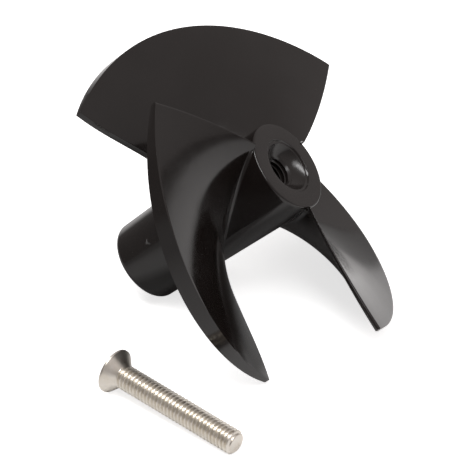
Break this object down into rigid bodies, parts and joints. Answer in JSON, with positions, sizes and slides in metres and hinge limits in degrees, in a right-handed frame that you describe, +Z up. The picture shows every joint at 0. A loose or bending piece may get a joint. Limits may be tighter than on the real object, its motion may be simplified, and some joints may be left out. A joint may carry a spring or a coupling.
{
  "type": "three-blade propeller with retaining screw",
  "caption": "Moulded plastic propeller with broad helical blades on a tapered hub, its nose countersunk for the loose retaining screw that lies beside it.",
  "frame": {"origin": "middle of the footprint of the propeller and its loose screw, on the surface they lie on", "axes": "+Z up from that surface; the shaft points nose-up at 43.5 degrees over +X; the screw lies on the -Y side"},
  "size_m": [0.051, 0.07, 0.0461],
  "materials": {
    "moulding": "near-black, slightly warm moulded plastic with a satin gloss",
    "screw_steel": "plain stainless steel, slightly warm"
  },
  "bodies": {
    "propeller": {"hub": "moulding", "blade_1": "moulding", "blade_2": "moulding", "blade_3": "moulding"},
    "screw": {"retaining_screw": "screw_steel"}
  },
  "joints": [
    {"name": "screw_pick_up", "type": "slide", "parent": "propeller", "child": "screw", "axis": [0, -0.6, 0.8], "range_m": [0, 0.05]}
  ]
}
